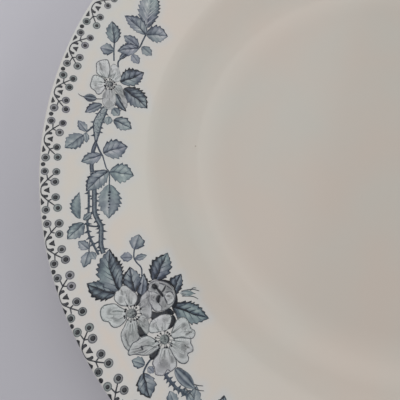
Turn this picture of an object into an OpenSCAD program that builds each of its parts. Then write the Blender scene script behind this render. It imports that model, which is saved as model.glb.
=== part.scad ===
// China dinner plate: a round earthenware plate with a flat well, a steep shoulder,
// a wide sloping border and a low foot ring, printed with three rose garlands and
// an edging of berries and scallops. Millimetres, +Z up, origin on the plate's axis
// in the plane of its foot.

/* [Body] */
// Diameter over the rim
plate_d = 240; // [239:0.5:242]
// Height of the well floor above the table
well_z = 5.3; // [5.2:0.1:6]
// Radius of the corner between well and shoulder, before rounding
well_corner_r = 72.6; // [71:0.1:73]
// Radius of the corner between shoulder and border, before rounding
verge_r = 84.2; // [83.5:0.1:85]
// Slope of the shoulder above level, in degrees
shoulder_slope = 42.5; // [38:0.5:46]
// Slope of the wide border above level, in degrees
border_slope = 12.5; // [10:0.5:14]
// Slope of the border's underside above level, in degrees
back_slope = 14.5; // [13:0.5:16]
// Radius of the rounded rim
rim_r = 1.2; // [1:0.1:1.4]
// Wall thickness of the shoulder
wall_t = 3.6; // [3.2:0.1:4]
// Thickness of the well floor
floor_t = 3.5; // [3.3:0.1:3.6]

/* [Foot ring] */
// Outer radius of the foot ring
foot_outer_r = 76; // [75.5:0.1:77]
// Inner radius of the foot ring
foot_inner_r = 71.5; // [70:0.1:72]
// Height of the bare clay left at the bearing edge
bare_h = 0.8; // [0.7:0.05:0.9]

/* [Glaze and print] */
// Thickness of the glaze
glaze_t = 0.25; // [0.15:0.05:0.35]
// Thickness of the printed film
film_t = 0.05; // [0.03:0.01:0.1]
// Number of garlands round the border
garlands = 3; // [1:1:3]
// Number of scallops round the rim
scallops = 42; // [40:1:44]

/* [Hidden] */
$fn = 48;
plate_sides = 180;
arc_steps = 8;
rim_steps = 12;
plate_r = plate_d / 2;

// Lines of the section, as [point, direction, 1 where glazed], with the body on the right.
foot_draft = 10;
foot_outer_fillet = 1.5;
foot_inner_fillet = 0.8;
foot_edge_r = 0.8;
well_fillet = 14;
verge_fillet = 8;
back_fillet = 10;
verge_z = well_z + (verge_r - well_corner_r) * tan(shoulder_slope);
rim_centre = [
    plate_r - rim_r,
    verge_z + (plate_r - rim_r - verge_r) * tan(border_slope) - rim_r / cos(border_slope)
];
floor_line = [[0, well_z], 0, 1];
shoulder_line = [[verge_r, verge_z], shoulder_slope, 1];
border_line = [[verge_r, verge_z], border_slope, 1];
border_back = [rim_centre + rim_r * dir(back_slope - 90), 180 + back_slope, 1];
shoulder_back = [[verge_r, verge_z] + wall_t * dir(shoulder_slope - 90), 180 + shoulder_slope, 1];
foot_outside = [[foot_outer_r, 0], 270 - foot_draft, 1];
foot_bottom = [[0, 0], 180, 0];
foot_inside = [[foot_inner_r, 0], 90 + foot_draft, 1];
underside = [[0, well_z - floor_t], 180, 1];

// The printed film lies on the border and a little way down the shoulder.
film_start_r = 79;
film_rim_angle = 15;

// Edging, as distances along the rim from a dot and radii from the plate's axis.
edging_r = 117.5;
first_dot_angle = 180;
half_unit = PI * edging_r / scallops;
dot_d = 1.5;
berry_d = 2.6;
berry_hole_d = 2;
berry_seed_d = 1.2;
berries = [[2.4, 116.85], [2.7, 113.25], [6.2, 113.75]];
stalk_w = 0.4;
stalk_root = [5.2, 115.95];

// Scallop line between two stalk roots, with a patch in each shoulder and a triangle under its middle.
scallop_half = half_unit - stalk_root.x;
scallop_rise = 2.1;
scallop_reach = 0.92;
scallop_steps = 10;
triangle_r = 116.2;
triangle = [[-0.8, -1], [0.8, 0], [-0.8, 1]];
shoulder_patch_at = [6.9, 116.5];
shoulder_patch = [[-0.3, -0.35], [-0.6, 0], [-0.4, 0.4], [0.7, 0.4], [0.3, -0.15]];
rim_triangle_at = [4.9, 117.8];
rim_triangle = [[0.4, -0.8], [-0.7, -0.05], [0.3, 1.6]];

// Lift that keeps a flat piece of film clear of the curved border.
flat_lift = 0.015;

// Garland: stems as [width, points], in plan.
garland_turn = 120;
stems = [
    [1.2, [[-85.3, 47.5], [-87.6, 42], [-92, 38.4], [-95, 36], [-96.5, 32]]],
    [0.9, [[-96, 43.6], [-96.4, 40.9], [-96.7, 37], [-95.6, 33]]],
    [1.8, [[-100, 18.6], [-102.5, 14.4], [-103.4, 10], [-102.2, 5.6], [-100.9, 2.5]]],
    [0.8, [[-100.9, 2.5], [-99.4, -0.6], [-97.8, -4.4], [-97.6, -8.4]]],
    [1.2, [[-102.2, 5.6], [-103.3, 0], [-103.1, -9]]],
    [0.8, [[-103.1, -9], [-103.9, -17.5], [-104.4, -20.3], [-103.4, -23.8], [-100.3, -30]]],
    [1.6, [[-102.6, -9], [-101.9, -17.5], [-100, -22], [-100, -27.5], [-99.3, -31]]],
    [0.8, [[-89.2, -30.5], [-89.3, -33], [-87.5, -36.3], [-87.2, -38.5]]],
    [1.4, [[-80, -66.5], [-77.5, -70], [-72, -76.5], [-64, -83], [-54, -89], [-46, -92]]],
    [0.8, [[-83.1, -61.3], [-85.3, -64.4], [-85.6, -67]]]
];

// Leaves, as [x, y, direction, length, width], from the base of each leaf.
dark_leaf_list = [
    [-94.5, 29.4, 23, 9, 6],
    [-93.4, 26.3, -41, 10.7, 6.5],
    [-96.4, 14.7, -32, 6.7, 3.8],
    [-100.1, 2.8, 15, 8.5, 6.5],
    [-94.4, -41.3, 105, 12.3, 8],
    [-93.8, -42.8, 164, 10, 6],
    [-88.8, -43.8, 109, 8.7, 5.5],
    [-83.8, -39.4, 60, 9.4, 6],
    [-80, -41.9, 37, 6.3, 5],
    [-78.8, -48.8, -14, 12.7, 5],
    [-85.6, -66.6, -82, 6.6, 5],
    [-66, -81.5, 70, 9, 5.5],
    [-61, -85.5, -100, 9, 5.5]
];
pale_leaf_list = [
    [-85, 49.7, 78, 15, 7],
    [-85.4, 48, 139, 9, 4],
    [-84.8, 47.5, -5, 7.5, 7],
    [-88, 42, 132, 7.5, 4.5],
    [-88, 42, 192, 7.7, 5],
    [-87.3, 42.2, -38, 4.5, 3.5],
    [-95.9, 43.6, 97, 8.3, 4.7],
    [-96.3, 40.9, 168, 5, 3.8],
    [-101.8, 22.7, 174, 6.7, 2.6],
    [-104.7, 10.3, 126, 4.8, 2.6],
    [-105.6, 8.4, -136, 6.6, 4.4],
    [-100.6, 2.5, -154, 7, 3.8],
    [-97.6, -3.9, -9, 7.8, 7],
    [-98.1, -3.3, -143, 8.3, 4.5],
    [-97.6, -8.4, -90, 11.3, 7],
    [-106.3, -19.4, 95, 8.5, 4],
    [-105, -21.1, -131, 6.5, 4],
    [-103.1, -30.6, -109, 5, 3],
    [-89.1, -30.3, 83, 5, 4.5],
    [-90, -32.5, 180, 3.7, 2.4],
    [-88.8, -32.8, 15, 3, 2],
    [-73, -77, 75, 7, 4],
    [-54, -88.5, 85, 7.5, 4.5],
    [-50, -90.5, -75, 7, 4.5],
    [-46, -92, -20, 8.5, 4.5]
];

// Roses, as [x, y, radius, direction of the first petal].
roses = [[-97.9, 28.2, 8.5, 108], [-90, -48.8, 10, 118], [-80.5, -56.6, 9.8, 28]];
petals = 5;
petal_half_angle = 33;
petal_start = 0.16;
petal_notch = 0.07;
stamen_ring = 0.36;
stamens = 10;
stamen_d = 0.7;
stamen_sides = 16;

// Buds, as [x, y, direction, length, width].
buds = [
    [-81.5, -45.5, 20, 7, 6.5],
    [-74.7, -45, 18, 5.4, 3.2],
    [-76.9, -65, -40, 7.8, 3.4],
    [-61, -84, -20, 6.5, 3.4]
];

function dir(a) = [cos(a), sin(a)];
function reversed(points) = [for (i = [len(points) - 1 : -1 : 0]) points[i]];

// A line moved towards the body by g where it is glazed.
function inset(line, g) = [line[0] + g * line[2] * dir(line[1] - 90), line[1]];

// The point where two lines cross.
function crossing(a, b) =
    let (d = dir(a[1]), e = dir(b[1]), w = b[0] - a[0])
    a[0] + d * (w.x * e.y - w.y * e.x) / (d.x * e.y - d.y * e.x);

// The arc that rounds the corner between two lines, followed in their direction.
function corner_arc(a, b, r) =
    let (
        turn = b[1] - a[1],
        side = sign(turn),
        start = crossing(a, b) - r * tan(abs(turn) / 2) * dir(a[1]),
        centre = start + r * dir(a[1] + 90 * side)
    )
    [for (i = [0 : arc_steps]) centre + r * dir(a[1] - 90 * side + turn * i / arc_steps)];

function glazed_corner(a, b, r, g) = corner_arc(inset(a, g), inset(b, g), r + g * sign(b[1] - a[1]));
function point_at_r(line, r) = [r, line[0].y + (r - line[0].x) * tan(line[1])];
function point_at_z(line, z) = [line[0].x + (z - line[0].y) / tan(line[1]), z];
function rim_arc(from, to, g) =
    [for (i = [0 : rim_steps]) rim_centre + (rim_r - g) * dir(from + (to - from) * i / rim_steps)];

// Face of the section from the axis to the outermost point of the rim, inset by g.
function face_path(g) = concat(
    [[0, well_z - g]],
    glazed_corner(floor_line, shoulder_line, well_fillet, g),
    glazed_corner(shoulder_line, border_line, verge_fillet, g),
    rim_arc(90 + border_slope, 0, g)
);

// Back of the section from the outermost point of the rim to the foot ring, inset by g.
function back_path(g) = concat(
    rim_arc(0, back_slope - 90, g),
    glazed_corner(border_back, shoulder_back, back_fillet, g),
    glazed_corner(shoulder_back, foot_outside, foot_outer_fillet, g)
);

// Underside of the section from the foot ring's inner wall to the axis, inset by g.
function underside_path(g) = concat(
    glazed_corner(foot_inside, underside, foot_inner_fillet, g),
    [[0, well_z - floor_t + g]]
);

// Path of the printed film, lifted off the face by h.
function film_path(h) = concat(
    [point_at_r(inset(shoulder_line, -h), film_start_r)],
    glazed_corner(shoulder_line, border_line, verge_fillet, -h),
    rim_arc(90 + border_slope, film_rim_angle, -h)
);

// Outline of a stem along a route.
function heading(points, i) =
    let (d = points[min(i + 1, len(points) - 1)] - points[max(i - 1, 0)])
    atan2(d.y, d.x);
function stem_side(points, offset) =
    [for (i = [0 : len(points) - 1]) points[i] + offset * dir(heading(points, i) + 90)];
function stem_outline(w, points) = concat(stem_side(points, w / 2), reversed(stem_side(points, -w / 2)));

// Outline of a leaf, pointed at both ends and widest before the middle.
leaf_steps = 8;
leaf_fullness = 0.8;
function leaf_half(t) = sin(180 * pow(t, leaf_fullness)) / 2;
function leaf_outline(length, width) = concat(
    [for (i = [0 : leaf_steps]) [length * i / leaf_steps, width * leaf_half(i / leaf_steps)]],
    [for (i = [leaf_steps - 1 : -1 : 1]) [length * i / leaf_steps, -width * leaf_half(i / leaf_steps)]]
);

// Outline of a rose petal, with a shallow notch in its outer edge.
petal_steps = 12;
petal_squareness = 0.35;
petal_fall = 88;
function petal_radius(u) = pow(cos(petal_fall * u), petal_squareness) * (1 - petal_notch * cos(180 * u));
function petal_outline(r) = concat(
    [[petal_start * r, 0]],
    [for (i = [0 : petal_steps])
        let (u = -1 + 2 * i / petal_steps)
        r * petal_radius(u) * dir(petal_half_angle * u)]
);

// A place on the edging, from its distance along the rim and its radius.
function edging_point(p) = p.y * dir(180 * p.x / (PI * edging_r));

module lens(p) {
    translate([p[0], p[1]])
        rotate(p[2])
        polygon(leaf_outline(p[3], p[4]));
}

module each_garland() {
    for (k = [0 : garlands - 1])
        rotate(garland_turn * k)
        children();
}

// Every unit of the edging, each starting at its dot.
module each_unit() {
    for (k = [0 : scallops - 1])
        rotate([0, 0, first_dot_angle + 360 * k / scallops])
        children();
}

// Both mirrored halves of every unit.
module each_half_unit() {
    each_unit() {
        children();
        mirror([0, 1, 0])
            children();
    }
}

// A printed pattern given in plan, as a film that follows the border and shoulder.
plan_height = 2 * rim_centre.y;
module ink(shade) {
    color(shade)
        intersection() {
            rotate_extrude($fn = plate_sides)
                polygon(concat(film_path(0), reversed(film_path(film_t))));
            linear_extrude(height = plan_height)
                children();
        }
}

module petals_plan() {
    for (rose = roses, k = [0 : petals - 1])
        translate([rose[0], rose[1]])
        rotate(rose[3] + 360 * k / petals)
        polygon(petal_outline(rose[2]));
}

module stamens_plan() {
    for (rose = roses, k = [0 : stamens - 1])
        translate([rose[0], rose[1]] + stamen_ring * rose[2] * dir(360 * k / stamens))
        circle(d = stamen_d, $fn = stamen_sides);
}

module buds_plan() {
    for (bud = buds)
        lens(bud);
}

module dark_leaves_plan() {
    for (leaf = dark_leaf_list)
        lens(leaf);
}

module pale_leaves_plan() {
    for (leaf = pale_leaf_list)
        lens(leaf);
}

module stems_plan() {
    for (stem = stems)
        polygon(stem_outline(stem[0], stem[1]));
}

module clay_body() {
    color("Wheat")
        rotate_extrude($fn = plate_sides)
        polygon(concat(
            face_path(glaze_t),
            back_path(glaze_t),
            corner_arc(inset(foot_outside, glaze_t), foot_bottom, foot_edge_r),
            corner_arc(foot_bottom, inset(foot_inside, glaze_t), foot_edge_r),
            underside_path(glaze_t)
        ));
}

module face_glaze() {
    color("Linen")
        rotate_extrude($fn = plate_sides)
        polygon(concat(face_path(0), reversed(face_path(glaze_t))));
}

module back_glaze() {
    color("AntiqueWhite")
        rotate_extrude($fn = plate_sides) {
            polygon(concat(
                back_path(0),
                [point_at_z(foot_outside, bare_h), point_at_z(inset(foot_outside, glaze_t), bare_h)],
                reversed(back_path(glaze_t))
            ));
            polygon(concat(
                [point_at_z(foot_inside, bare_h)],
                underside_path(0),
                reversed(underside_path(glaze_t)),
                [point_at_z(inset(foot_inside, glaze_t), bare_h)]
            ));
        }
}

// A flat piece of film lying on the border at a place on the edging.
module on_border(place) {
    p = edging_point(place);
    z = point_at_r(border_line, norm(p)).y;
    rotate([0, 0, atan2(p.y, p.x)])
        translate([norm(p), 0, z + flat_lift])
        rotate([0, -border_slope, 0])
        linear_extrude(height = film_t)
        children();
}

module berry_ring() {
    difference() {
        circle(d = berry_d);
        circle(d = berry_hole_d);
    }
}

// A straight stalk from the root of its cluster to the edge of a berry.
module stalk(to) {
    run = [to.y - stalk_root.y, to.x - stalk_root.x];
    rotate(atan2(run.y, run.x))
        translate([0, -stalk_w / 2])
        square([norm(run) - berry_d / 2, stalk_w]);
}

module border_dots() {
    color("#151c33")
        each_unit()
        on_border([0, edging_r])
        circle(d = dot_d);
}

module border_berries() {
    color("#1b2440")
        each_half_unit()
        for (place = berries) {
            on_border(place)
                berry_ring();
            on_border(place)
                circle(d = berry_seed_d);
        }
}

module border_stalks() {
    color("#26314f")
        each_half_unit()
        on_border(stalk_root) {
            for (place = berries)
                stalk(place);
            circle(d = stalk_w);
        }
}

// The scallop's arch, [outward, along], stopping short of the stalk roots.
scallop_line = [
    for (i = [0 : scallop_steps])
        let (u = scallop_reach * (2 * i / scallop_steps - 1))
        [scallop_rise * cos(90 * u), scallop_half * u]
];

module border_scallops() {
    color("#222c4a")
        each_unit()
        on_border([half_unit, stalk_root.y])
        polygon(stem_outline(stalk_w, scallop_line));
}

module border_triangles() {
    color("#1a2038") {
        each_unit()
            on_border([half_unit, triangle_r])
            polygon(triangle);
        each_half_unit() {
            on_border(shoulder_patch_at)
                polygon(shoulder_patch);
            on_border(rim_triangle_at)
                polygon(rim_triangle);
        }
    }
}

module garland_stems() {
    ink("#4a5a78")
        each_garland()
        difference() {
            stems_plan();
            dark_leaves_plan();
            pale_leaves_plan();
            petals_plan();
            buds_plan();
        }
}

module dark_leaves() {
    ink("#2b3b58")
        each_garland()
        difference() {
            dark_leaves_plan();
            petals_plan();
            buds_plan();
        }
}

module pale_leaves() {
    ink("#7f90a6")
        each_garland()
        difference() {
            pale_leaves_plan();
            dark_leaves_plan();
            petals_plan();
            buds_plan();
        }
}

module rose_petals() {
    ink("#dfe2e6")
        each_garland()
        difference() {
            petals_plan();
            stamens_plan();
        }
}

module rose_stamens() {
    ink("#12182c")
        each_garland()
        stamens_plan();
}

module rose_buds() {
    ink("#a9b3c2")
        each_garland()
        difference() {
            buds_plan();
            petals_plan();
        }
}

clay_body();
face_glaze();
back_glaze();
border_dots();
border_berries();
border_stalks();
border_scallops();
border_triangles();
garland_stems();
dark_leaves();
pale_leaves();
rose_petals();
rose_stamens();
rose_buds();
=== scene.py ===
# China dinner plate: the looks of a glazed earthenware plate with a blue transfer print.
import math
import random
from bisect import bisect_right

import bpy
from mathutils import Matrix, Vector
from mathutils.kdtree import KDTree


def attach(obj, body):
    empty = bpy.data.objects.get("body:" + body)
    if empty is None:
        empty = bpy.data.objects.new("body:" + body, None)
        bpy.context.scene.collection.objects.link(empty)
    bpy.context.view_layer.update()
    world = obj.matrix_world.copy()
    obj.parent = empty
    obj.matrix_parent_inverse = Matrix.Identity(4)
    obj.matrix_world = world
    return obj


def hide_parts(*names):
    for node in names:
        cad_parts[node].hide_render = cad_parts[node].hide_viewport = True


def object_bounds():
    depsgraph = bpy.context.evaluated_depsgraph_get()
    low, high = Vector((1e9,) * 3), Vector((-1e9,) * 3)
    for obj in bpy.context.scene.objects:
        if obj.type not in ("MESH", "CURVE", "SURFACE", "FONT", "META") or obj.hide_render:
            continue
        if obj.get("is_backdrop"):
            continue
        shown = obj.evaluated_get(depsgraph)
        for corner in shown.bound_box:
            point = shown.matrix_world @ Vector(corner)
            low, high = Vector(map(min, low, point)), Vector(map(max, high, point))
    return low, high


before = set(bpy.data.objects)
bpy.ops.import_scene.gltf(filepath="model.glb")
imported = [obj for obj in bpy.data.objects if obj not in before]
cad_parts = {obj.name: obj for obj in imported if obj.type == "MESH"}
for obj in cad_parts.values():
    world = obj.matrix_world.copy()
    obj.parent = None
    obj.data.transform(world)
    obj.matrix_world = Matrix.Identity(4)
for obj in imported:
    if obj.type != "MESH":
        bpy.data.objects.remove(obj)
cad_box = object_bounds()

MM = 0.001
SEED = 7


# ---------------------------------------------------------------- section of the plate, in mm

PLATE_R = 120
WELL_Z = 5.3
WELL_CORNER_R = 72.6
VERGE_R = 84.2
SHOULDER_SLOPE = math.radians(42.5)
BORDER_SLOPE = math.radians(12.5)
BACK_SLOPE = math.radians(14.5)
RIM_R = 1.2
WALL_T = 3.6
FLOOR_T = 3.5
FOOT_OUTER_R = 76
FOOT_INNER_R = 71.5
FOOT_DRAFT = math.radians(10)
BARE_H = 0.8
GLAZE_T = 0.25
WELL_FILLET, VERGE_FILLET, BACK_FILLET = 14, 8, 10
FOOT_FILLET, FOOT_ROUND = 1.5, 0.8
ARC_STEP = math.radians(3)
HALF_TURN = math.pi
QUARTER = math.pi / 2


def direction(a):
    return Vector((math.cos(a), math.sin(a)))


def crossing(a, b):
    """Where two lines, each a point and a direction, cross."""
    d, e, w = direction(a[1]), direction(b[1]), b[0] - a[0]
    return a[0] + d * (w.x * e.y - w.y * e.x) / (d.x * e.y - d.y * e.x)


def inset(line, g):
    """The line moved by g towards the body, which lies on its right."""
    return (line[0] + g * direction(line[1] - QUARTER), line[1])


def corner(a, b, radius, g=0.0):
    """The arc that rounds the corner between two lines inset by g."""
    turn = b[1] - a[1]
    side = math.copysign(1, turn)
    a, b, radius = inset(a, g), inset(b, g), radius + g * side
    start = crossing(a, b) - radius * math.tan(abs(turn) / 2) * direction(a[1])
    centre = start + radius * direction(a[1] + QUARTER * side)
    steps = max(3, round(abs(turn) / ARC_STEP))
    return [centre + radius * direction(a[1] - QUARTER * side + turn * i / steps) for i in range(steps + 1)]


VERGE = Vector((VERGE_R, WELL_Z + (VERGE_R - WELL_CORNER_R) * math.tan(SHOULDER_SLOPE)))
RIM_CENTRE = Vector((PLATE_R - RIM_R, VERGE.y + (PLATE_R - RIM_R - VERGE_R) * math.tan(BORDER_SLOPE)
                     - RIM_R / math.cos(BORDER_SLOPE)))
FLOOR_LINE = (Vector((0, WELL_Z)), 0.0)
SHOULDER_LINE = (VERGE, SHOULDER_SLOPE)
BORDER_LINE = (VERGE, BORDER_SLOPE)
BORDER_BACK = (RIM_CENTRE + RIM_R * direction(BACK_SLOPE - QUARTER), HALF_TURN + BACK_SLOPE)
SHOULDER_BACK = (VERGE + WALL_T * direction(SHOULDER_SLOPE - QUARTER), HALF_TURN + SHOULDER_SLOPE)
FOOT_OUTSIDE = (Vector((FOOT_OUTER_R, 0)), 1.5 * HALF_TURN - FOOT_DRAFT)
FOOT_BOTTOM = (Vector((0, 0)), HALF_TURN)
FOOT_INSIDE = (Vector((FOOT_INNER_R, 0)), QUARTER + FOOT_DRAFT)
UNDERSIDE = (Vector((0, WELL_Z - FLOOR_T)), HALF_TURN)


def rim_arc(start, end, g=0.0):
    steps = round(abs(end - start) / (2 * ARC_STEP))
    return [RIM_CENTRE + (RIM_R - g) * direction(start + (end - start) * i / steps) for i in range(steps + 1)]


def face_path(g=0.0):
    path = [Vector((0, WELL_Z - g))]
    path += corner(FLOOR_LINE, SHOULDER_LINE, WELL_FILLET, g)
    path += corner(SHOULDER_LINE, BORDER_LINE, VERGE_FILLET, g)
    return path + rim_arc(QUARTER + BORDER_SLOPE, 0, g)


def back_path(g=0.0):
    path = rim_arc(0, BACK_SLOPE - QUARTER, g)
    path += corner(BORDER_BACK, SHOULDER_BACK, BACK_FILLET, g)
    return path + corner(SHOULDER_BACK, FOOT_OUTSIDE, FOOT_FILLET, g)


def underside_path(g=0.0):
    return corner(FOOT_INSIDE, UNDERSIDE, FOOT_ROUND, g) + [Vector((0, WELL_Z - FLOOR_T + g))]


def foot_path(g):
    """The bare bearing edge of the foot ring, between the glazed walls."""
    outside = corner(inset(FOOT_OUTSIDE, g), FOOT_BOTTOM, FOOT_ROUND)
    return outside + corner(FOOT_BOTTOM, inset(FOOT_INSIDE, g), FOOT_ROUND)


def at_height(line, z):
    return Vector((line[0].x + (z - line[0].y) / math.tan(line[1]), z))


def refined(path, step):
    """The path with no stretch longer than step."""
    out = [path[0]]
    for a, b in zip(path, path[1:]):
        n = max(1, math.ceil((b - a).length / step))
        out += [a.lerp(b, i / n) for i in range(1, n + 1)]
    return out


class Surface:
    """The glazed face in section, as a sheet that the print is laid on."""

    def __init__(self):
        self.path = refined(face_path(), 0.5)
        self.reach = [0.0]
        for a, b in zip(self.path, self.path[1:]):
            self.reach.append(self.reach[-1] + (b - a).length)
        # Where the rim curves down, a place in plan is counted along the sheet.
        tangent = next(i for i, p in enumerate(self.path) if p.x > PLATE_R - RIM_R - RIM_R * math.sin(BORDER_SLOPE))
        self.flat_r, self.flat_reach = self.path[tangent - 1].x, self.reach[tangent - 1]
        self.radii = [p.x for p in self.path]

    def place(self, x, y, lift):
        """A point of the print given in plan, as a point in space lifted off the glaze."""
        r = math.hypot(x, y)
        if r > self.flat_r:
            keys, key = self.reach, self.flat_reach + (r - self.flat_r)
        else:
            keys, key = self.radii, r
        i = min(max(bisect_right(keys, key), 1), len(keys) - 1)
        t = (key - keys[i - 1]) / (keys[i] - keys[i - 1])
        a, b = self.path[i - 1], self.path[i]
        p = a.lerp(b, t)
        along = (b - a).normalized()
        p = p + lift * Vector((-along.y, along.x))
        return (p.x * x / r * MM, p.x * y / r * MM, p.y * MM)


SHEET = Surface()


# ---------------------------------------------------------------- mesh helpers

def add_object(name, data):
    obj = bpy.data.objects.new(name, data)
    bpy.context.collection.objects.link(obj)
    return obj


def new_object(name, verts, faces, smooth=True):
    mesh = bpy.data.meshes.new(name)
    mesh.from_pydata(verts, [], faces)
    mesh.validate()
    if smooth:
        mesh.shade_smooth()
    return add_object(name, mesh)


def lathe(name, outlines, segments):
    """Closed outlines in section, turned round the plate's axis."""
    verts, faces = [], []
    for outline in outlines:
        rings = []
        for p in outline:
            if p.x < 1e-6:
                rings.append([len(verts)])
                verts.append((0, 0, p.y * MM))
                continue
            rings.append(list(range(len(verts), len(verts) + segments)))
            for k in range(segments):
                a = 2 * math.pi * k / segments
                verts.append((p.x * math.cos(a) * MM, p.x * math.sin(a) * MM, p.y * MM))
        for a, b in zip(rings, rings[1:] + rings[:1]):
            if len(a) == 1 and len(b) == 1:
                continue
            for k in range(segments):
                n = (k + 1) % segments
                if len(a) == 1:
                    faces.append((a[0], b[k], b[n]))
                elif len(b) == 1:
                    faces.append((a[k], b[0], a[n]))
                else:
                    faces.append((a[k], b[k], b[n], a[n]))
    return new_object(name, verts, faces)


def between(a, b, t):
    return a[0] + (b[0] - a[0]) * t, a[1] + (b[1] - a[1]) * t


def turned(x, y, a):
    return x * math.cos(a) - y * math.sin(a), x * math.sin(a) + y * math.cos(a)


def curve(points, steps=8):
    """A smooth curve through plan points (Catmull-Rom)."""
    out = []
    for i in range(len(points) - 1):
        p0, p1 = points[max(i - 1, 0)], points[i]
        p2, p3 = points[i + 1], points[min(i + 2, len(points) - 1)]
        for k in range(steps):
            t = k / steps
            out.append(tuple(
                0.5 * (2 * b + (c - a) * t + (2 * a - 5 * b + 4 * c - d) * t * t + (3 * b - a - 3 * c + d) * t ** 3)
                for a, b, c, d in zip(p0, p1, p2, p3)))
    return out + [tuple(points[-1])]


def normal(points, i):
    """The way to the left of a route at one of its points."""
    ax, ay = points[max(i - 1, 0)]
    bx, by = points[min(i + 1, len(points) - 1)]
    size = math.hypot(bx - ax, by - ay) or 1.0
    return -(by - ay) / size, (bx - ax) / size


def polar(x, y, r, a):
    return x + r * math.cos(a), y + r * math.sin(a)


def circle(x, y, radius, sides):
    return [polar(x, y, radius, 2 * math.pi * i / sides) for i in range(sides)]


class Film:
    """A printed film: many thin closed patches that follow the glazed face, gathered into one piece.
    Each patch carries a pattern coordinate and a tone, from 0 for full ink to 1 for bare glaze."""

    SINK = 0.02

    def __init__(self, name):
        self.name, self.verts, self.faces = name, [], []
        self.uv, self.tone, self.plan = [], [], []

    def _add(self, points, uvs, lift, tone):
        first = len(self.verts)
        tones = tone if isinstance(tone, list) else [tone] * len(points)
        for level in (lift, -self.SINK):
            for (x, y), uv, shade in zip(points, uvs, tones):
                self.verts.append(SHEET.place(x, y, level))
                self.uv.append(uv)
                self.tone.append(shade)
        self.plan += points
        return first, len(points)

    def _skin(self, face, n):
        """A face on top of the film, and the one under it, whose points come n later."""
        self.faces += [face, tuple(q + n for q in reversed(face))]

    def _sides(self, edge, n):
        for a, b in zip(edge, edge[1:] + edge[:1]):
            self.faces.append((b, a, a + n, b + n))

    def grid(self, rows, uvs, lift, tone=0.5):
        """A patch of rows of plan points, all of the same length. The tone is one value or one for each point."""
        count, width = len(rows), len(rows[0])
        if isinstance(tone, list):
            tone = [value for row in tone for value in row]
        first, n = self._add([p for row in rows for p in row], [q for row in uvs for q in row], lift, tone)
        at = lambda i, j: first + i * width + j
        for i in range(count - 1):
            for j in range(width - 1):
                self._skin((at(i, j), at(i + 1, j), at(i + 1, j + 1), at(i, j + 1)), n)
        edge = [at(i, 0) for i in range(count)] + [at(count - 1, j) for j in range(1, width)]
        edge += [at(i, width - 1) for i in range(count - 2, -1, -1)] + [at(0, j) for j in range(width - 2, 0, -1)]
        self._sides(edge, n)

    def soft(self, points, widths, lift, tone, ground):
        """A shading stroke that is darkest along its middle and fades into the ground tone."""
        points = curve(points, 5)
        count = len(points) - 1
        rows, uvs, tones = [], [], []
        for i, (x, y) in enumerate(points):
            nx, ny = normal(points, i)
            u = i / count
            size = widths * (0.35 + 0.65 * math.sin(math.pi * min(1.0, 0.1 + 0.8 * u)))
            fade = min(1.0, 5 * u, 5 * (1 - u))
            rows.append([(x + nx * size * v, y + ny * size * v) for v in (0.5, 0.3, 0.12, -0.12, -0.3, -0.5)])
            uvs.append([(u, v) for v in (-1.0, -0.6, -0.24, 0.24, 0.6, 1.0)])
            tones.append([ground + (tone - ground) * fade * k for k in (0.0, 0.45, 1.0, 1.0, 0.45, 0.0)])
        self.grid(rows, uvs, lift, tones)

    def fan(self, outline, lift, tone=0.5, rings=2, hollow=0.0):
        """A patch inside an outline, drawn in rings about its middle, which is darker by the hollow."""
        cx = sum(p[0] for p in outline) / len(outline)
        cy = sum(p[1] for p in outline) / len(outline)
        points, uvs, tones = [(cx, cy)], [(0.5, 0.0)], [tone - hollow]
        for k in range(1, rings + 1):
            s = k / rings
            for i, (x, y) in enumerate(outline):
                points.append((cx + (x - cx) * s, cy + (y - cy) * s))
                uvs.append((i / len(outline), s))
                tones.append(tone - hollow * (1 - s) ** 1.5)
        first, n = self._add(points, uvs, lift, tones)
        m = len(outline)
        ring = lambda k: [first + 1 + (k - 1) * m + i for i in range(m)]
        inner = ring(1)
        for i in range(m):
            self._skin((first, inner[i], inner[(i + 1) % m]), n)
        for k in range(1, rings):
            a, b = ring(k), ring(k + 1)
            for i in range(m):
                j = (i + 1) % m
                self._skin((a[i], b[i], b[j], a[j]), n)
        self._sides(ring(rings), n)

    def line(self, points, widths, lift, tone=0.1):
        """A stroke along plan points, as wide at each as widths says."""
        if not isinstance(widths, (list, tuple)):
            widths = [widths] * len(points)
        rows, uvs = [], []
        for i, (x, y) in enumerate(points):
            nx, ny = normal(points, i)
            h = widths[i] / 2
            u = i / (len(points) - 1)
            rows.append([(x + nx * h, y + ny * h), (x - nx * h, y - ny * h)])
            uvs.append([(u, 0.0), (u, 1.0)])
        self.grid(rows, uvs, lift, tone)

    def disc(self, x, y, radius, lift, tone=0.1, sides=16, rings=1):
        self.fan(circle(x, y, radius, sides), lift, tone, rings)

    def ring(self, x, y, inner, outer, lift, tone=0.1, sides=20):
        """A round stroke, closed on itself."""
        points = circle(x, y, inner, sides) + circle(x, y, outer, sides)
        first, n = self._add(points, [(i / sides, v) for v in (0.0, 1.0) for i in range(sides)], lift, tone)
        for i in range(sides):
            a, b = first + i, first + (i + 1) % sides
            c, d = a + sides, b + sides
            self._skin((a, c, d, b), n)
            self.faces += [(b, a, a + n, b + n), (c, d, d + n, c + n)]

    def build(self, material, slot, *nodes):
        obj = new_object(self.name, self.verts, self.faces)
        mesh = obj.data
        layer = mesh.uv_layers.new(name="pattern")
        layer.data.foreach_set("uv", [c for loop in mesh.loops for c in self.uv[loop.vertex_index]])
        tone = mesh.attributes.new("tone", "FLOAT", "POINT")
        tone.data.foreach_set("value", self.tone)
        finish(obj, material, slot, *nodes)


def finish(obj, material, slot, *nodes):
    obj.data.materials.append(material)
    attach(obj, "root")
    if nodes:
        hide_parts(*nodes)


# ---------------------------------------------------------------- materials

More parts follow.
